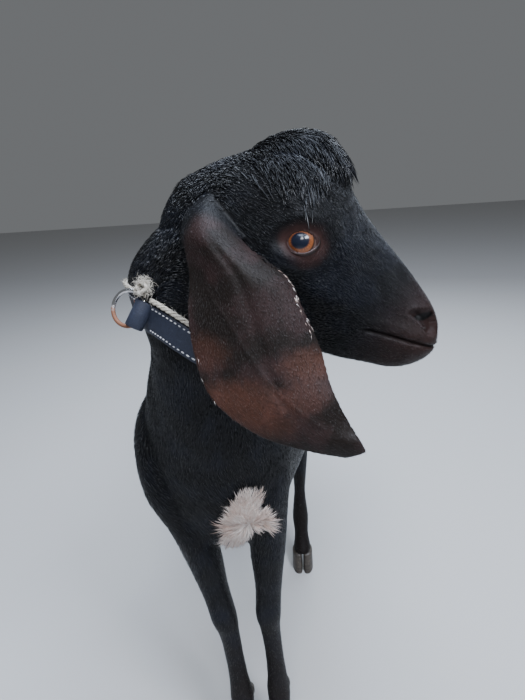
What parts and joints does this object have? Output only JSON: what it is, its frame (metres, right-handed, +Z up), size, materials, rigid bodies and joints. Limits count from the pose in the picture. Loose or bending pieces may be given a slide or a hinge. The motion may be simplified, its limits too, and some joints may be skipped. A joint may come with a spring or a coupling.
{
  "type": "goat figure",
  "caption": "Life-size figure of a young black lop-eared goat standing with its head turned, wearing a strap collar with a ring.",
  "frame": {"origin": "centre of the bounding box at the floor on which the hooves stand", "axes": "+Z up, -Y the way the goat's body faces, +X the goat's left"},
  "size_m": [0.2974, 0.743, 0.7475],
  "materials": {
    "coat": "short glossy black hair, with long cream hair at the brisket",
    "ear_skin": "thin short-haired skin, black-brown with reddish patches",
    "horn": "dark horn",
    "eye": "wet, amber with a dark pupil",
    "strap": "navy, stitched",
    "steel": "bright with rust below",
    "cord": "frayed twine"
  },
  "bodies": {
    "root": {"collar": "strap", "collar_cord": "cord", "collar_ring": "steel", "dewclaw_foreleg_left_a": "horn", "dewclaw_foreleg_left_b": "horn", "dewclaw_foreleg_right_a": "horn", "dewclaw_foreleg_right_b": "horn", "dewclaw_hind_leg_left_a": "horn", "dewclaw_hind_leg_left_b": "horn", "dewclaw_hind_leg_right_a": "horn", "dewclaw_hind_leg_right_b": "horn", "ear_left": "ear_skin", "ear_right": "ear_skin", "eye_left": "eye", "eye_right": "eye", "foreleg_left": "coat", "foreleg_right": "coat", "head": "coat", "hind_leg_left": "coat", "hind_leg_right": "coat", "hoof_foreleg_left_a": "horn", "hoof_foreleg_left_b": "horn", "hoof_foreleg_right_a": "horn", "hoof_foreleg_right_b": "horn", "hoof_hind_leg_left_a": "horn", "hoof_hind_leg_left_b": "horn", "hoof_hind_leg_right_a": "horn", "hoof_hind_leg_right_b": "horn", "neck": "coat", "tail": "coat", "torso": "coat"}
  },
  "joints": []
}
